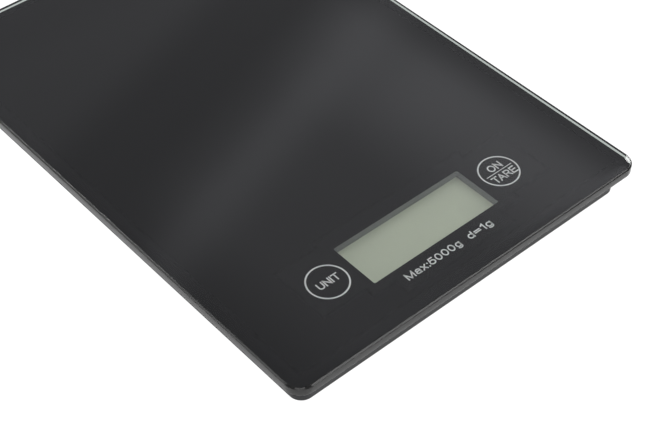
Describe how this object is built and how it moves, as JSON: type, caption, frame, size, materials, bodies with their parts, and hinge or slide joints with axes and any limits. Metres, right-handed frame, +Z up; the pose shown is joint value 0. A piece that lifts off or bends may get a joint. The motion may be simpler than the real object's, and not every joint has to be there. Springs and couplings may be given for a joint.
{
  "type": "kitchen scale",
  "caption": "Slim flat glass-topped kitchen scale, portrait, with a recessed LCD and two touch-key rings near the front edge, standing on four weighing feet.",
  "frame": {"origin": "on the table, under the middle of the scale (bottom centre of the bounding box)", "axes": "+X to the user's right, +Y away from the user, +Z up; the display and keys are at the -Y end"},
  "size_m": [0.16, 0.228, 0.016],
  "materials": {
    "glass_platform": "polished toughened float glass with a ground, bevelled edge",
    "back_print": "opaque black screen print seen through glass",
    "foam_tape": "black acrylic foam tape",
    "housing": "fine spark-eroded black ABS",
    "screw_steel": "zinc-plated steel",
    "bezel_plastic": "grey ABS",
    "lcd_glass": "display cell glass",
    "polariser": "grey-green polariser film with a matt face",
    "reflector": "diffuse reflector film",
    "elastomer": "layered conductive silicone",
    "pcb": "green solder mask over glass-epoxy laminate",
    "epoxy": "black epoxy glob",
    "ceramic": "ceramic chip parts",
    "can_steel": "nickel-plated steel can",
    "sleeve": "shrink sleeve",
    "solder": "bright solder",
    "conductive_foam": "carbon-loaded foam",
    "nickel_steel": "nickel-plated, finely brushed",
    "spring_brass": "nickel-flashed phosphor bronze",
    "label": "silver polyester label, blank",
    "spring_steel": "stamped, hardened spring steel",
    "sealant": "white silicone",
    "wire_red": "PVC insulation",
    "wire_black": "PVC insulation",
    "wire_white": "PVC insulation",
    "foot_plastic": "black ABS",
    "foot_rubber": "moulded silicone rubber"
  },
  "bodies": {
    "scale_body": {"glass_platform": "glass_platform", "back_print": "back_print", "foam_tape": "foam_tape", "upper_frame": "housing", "lower_housing": "housing", "housing_screws": "screw_steel", "lcd_bezel": "bezel_plastic", "lcd_cell": "lcd_glass", "lcd_polariser": "polariser", "lcd_reflector": "reflector", "zebra_strip": "elastomer", "main_pcb": "pcb", "pcb_screws": "screw_steel", "chip_blob": "epoxy", "chip_parts": "ceramic", "quartz_crystal": "can_steel", "filter_capacitor": "sleeve", "solder_joints": "solder", "touch_foams": "conductive_foam", "battery_can": "nickel_steel", "battery_cap": "nickel_steel", "contact_positive": "spring_brass", "contact_negative": "spring_brass", "rating_label": "label", "load_plate_front_left": "spring_steel", "load_plate_front_right": "spring_steel", "load_plate_back_left": "spring_steel", "load_plate_back_right": "spring_steel", "gauge_sealant": "sealant", "wires_red": "wire_red", "wires_black": "wire_black", "wires_white": "wire_white"},
    "foot_front_left": {"foot_cup_front_left": "foot_plastic", "foot_pad_front_left": "foot_rubber"},
    "foot_front_right": {"foot_cup_front_right": "foot_plastic", "foot_pad_front_right": "foot_rubber"},
    "foot_back_left": {"foot_cup_back_left": "foot_plastic", "foot_pad_back_left": "foot_rubber"},
    "foot_back_right": {"foot_cup_back_right": "foot_plastic", "foot_pad_back_right": "foot_rubber"},
    "battery_cover": {"battery_cover": "housing"}
  },
  "joints": [
    {"name": "foot_front_left_press", "type": "slide", "parent": "scale_body", "child": "foot_front_left", "axis": [0, 0, 1], "range_m": [0, 0.0004], "stiffness_N_per_m": 10000, "deforming": ["load_plate_front_left"]},
    {"name": "foot_front_right_press", "type": "slide", "parent": "scale_body", "child": "foot_front_right", "axis": [0, 0, 1], "range_m": [0, 0.0004], "stiffness_N_per_m": 10000, "deforming": ["load_plate_front_right"]},
    {"name": "foot_back_left_press", "type": "slide", "parent": "scale_body", "child": "foot_back_left", "axis": [0, 0, 1], "range_m": [0, 0.0004], "stiffness_N_per_m": 10000, "deforming": ["load_plate_back_left"]},
    {"name": "foot_back_right_press", "type": "slide", "parent": "scale_body", "child": "foot_back_right", "axis": [0, 0, 1], "range_m": [0, 0.0004], "stiffness_N_per_m": 10000, "deforming": ["load_plate_back_right"]},
    {"name": "battery_cover_turn", "type": "hinge", "parent": "scale_body", "child": "battery_cover", "pos_m": [0, 0.01, 0.0027], "axis": [0, 0, -1], "range_deg": [0, 45]}
  ]
}
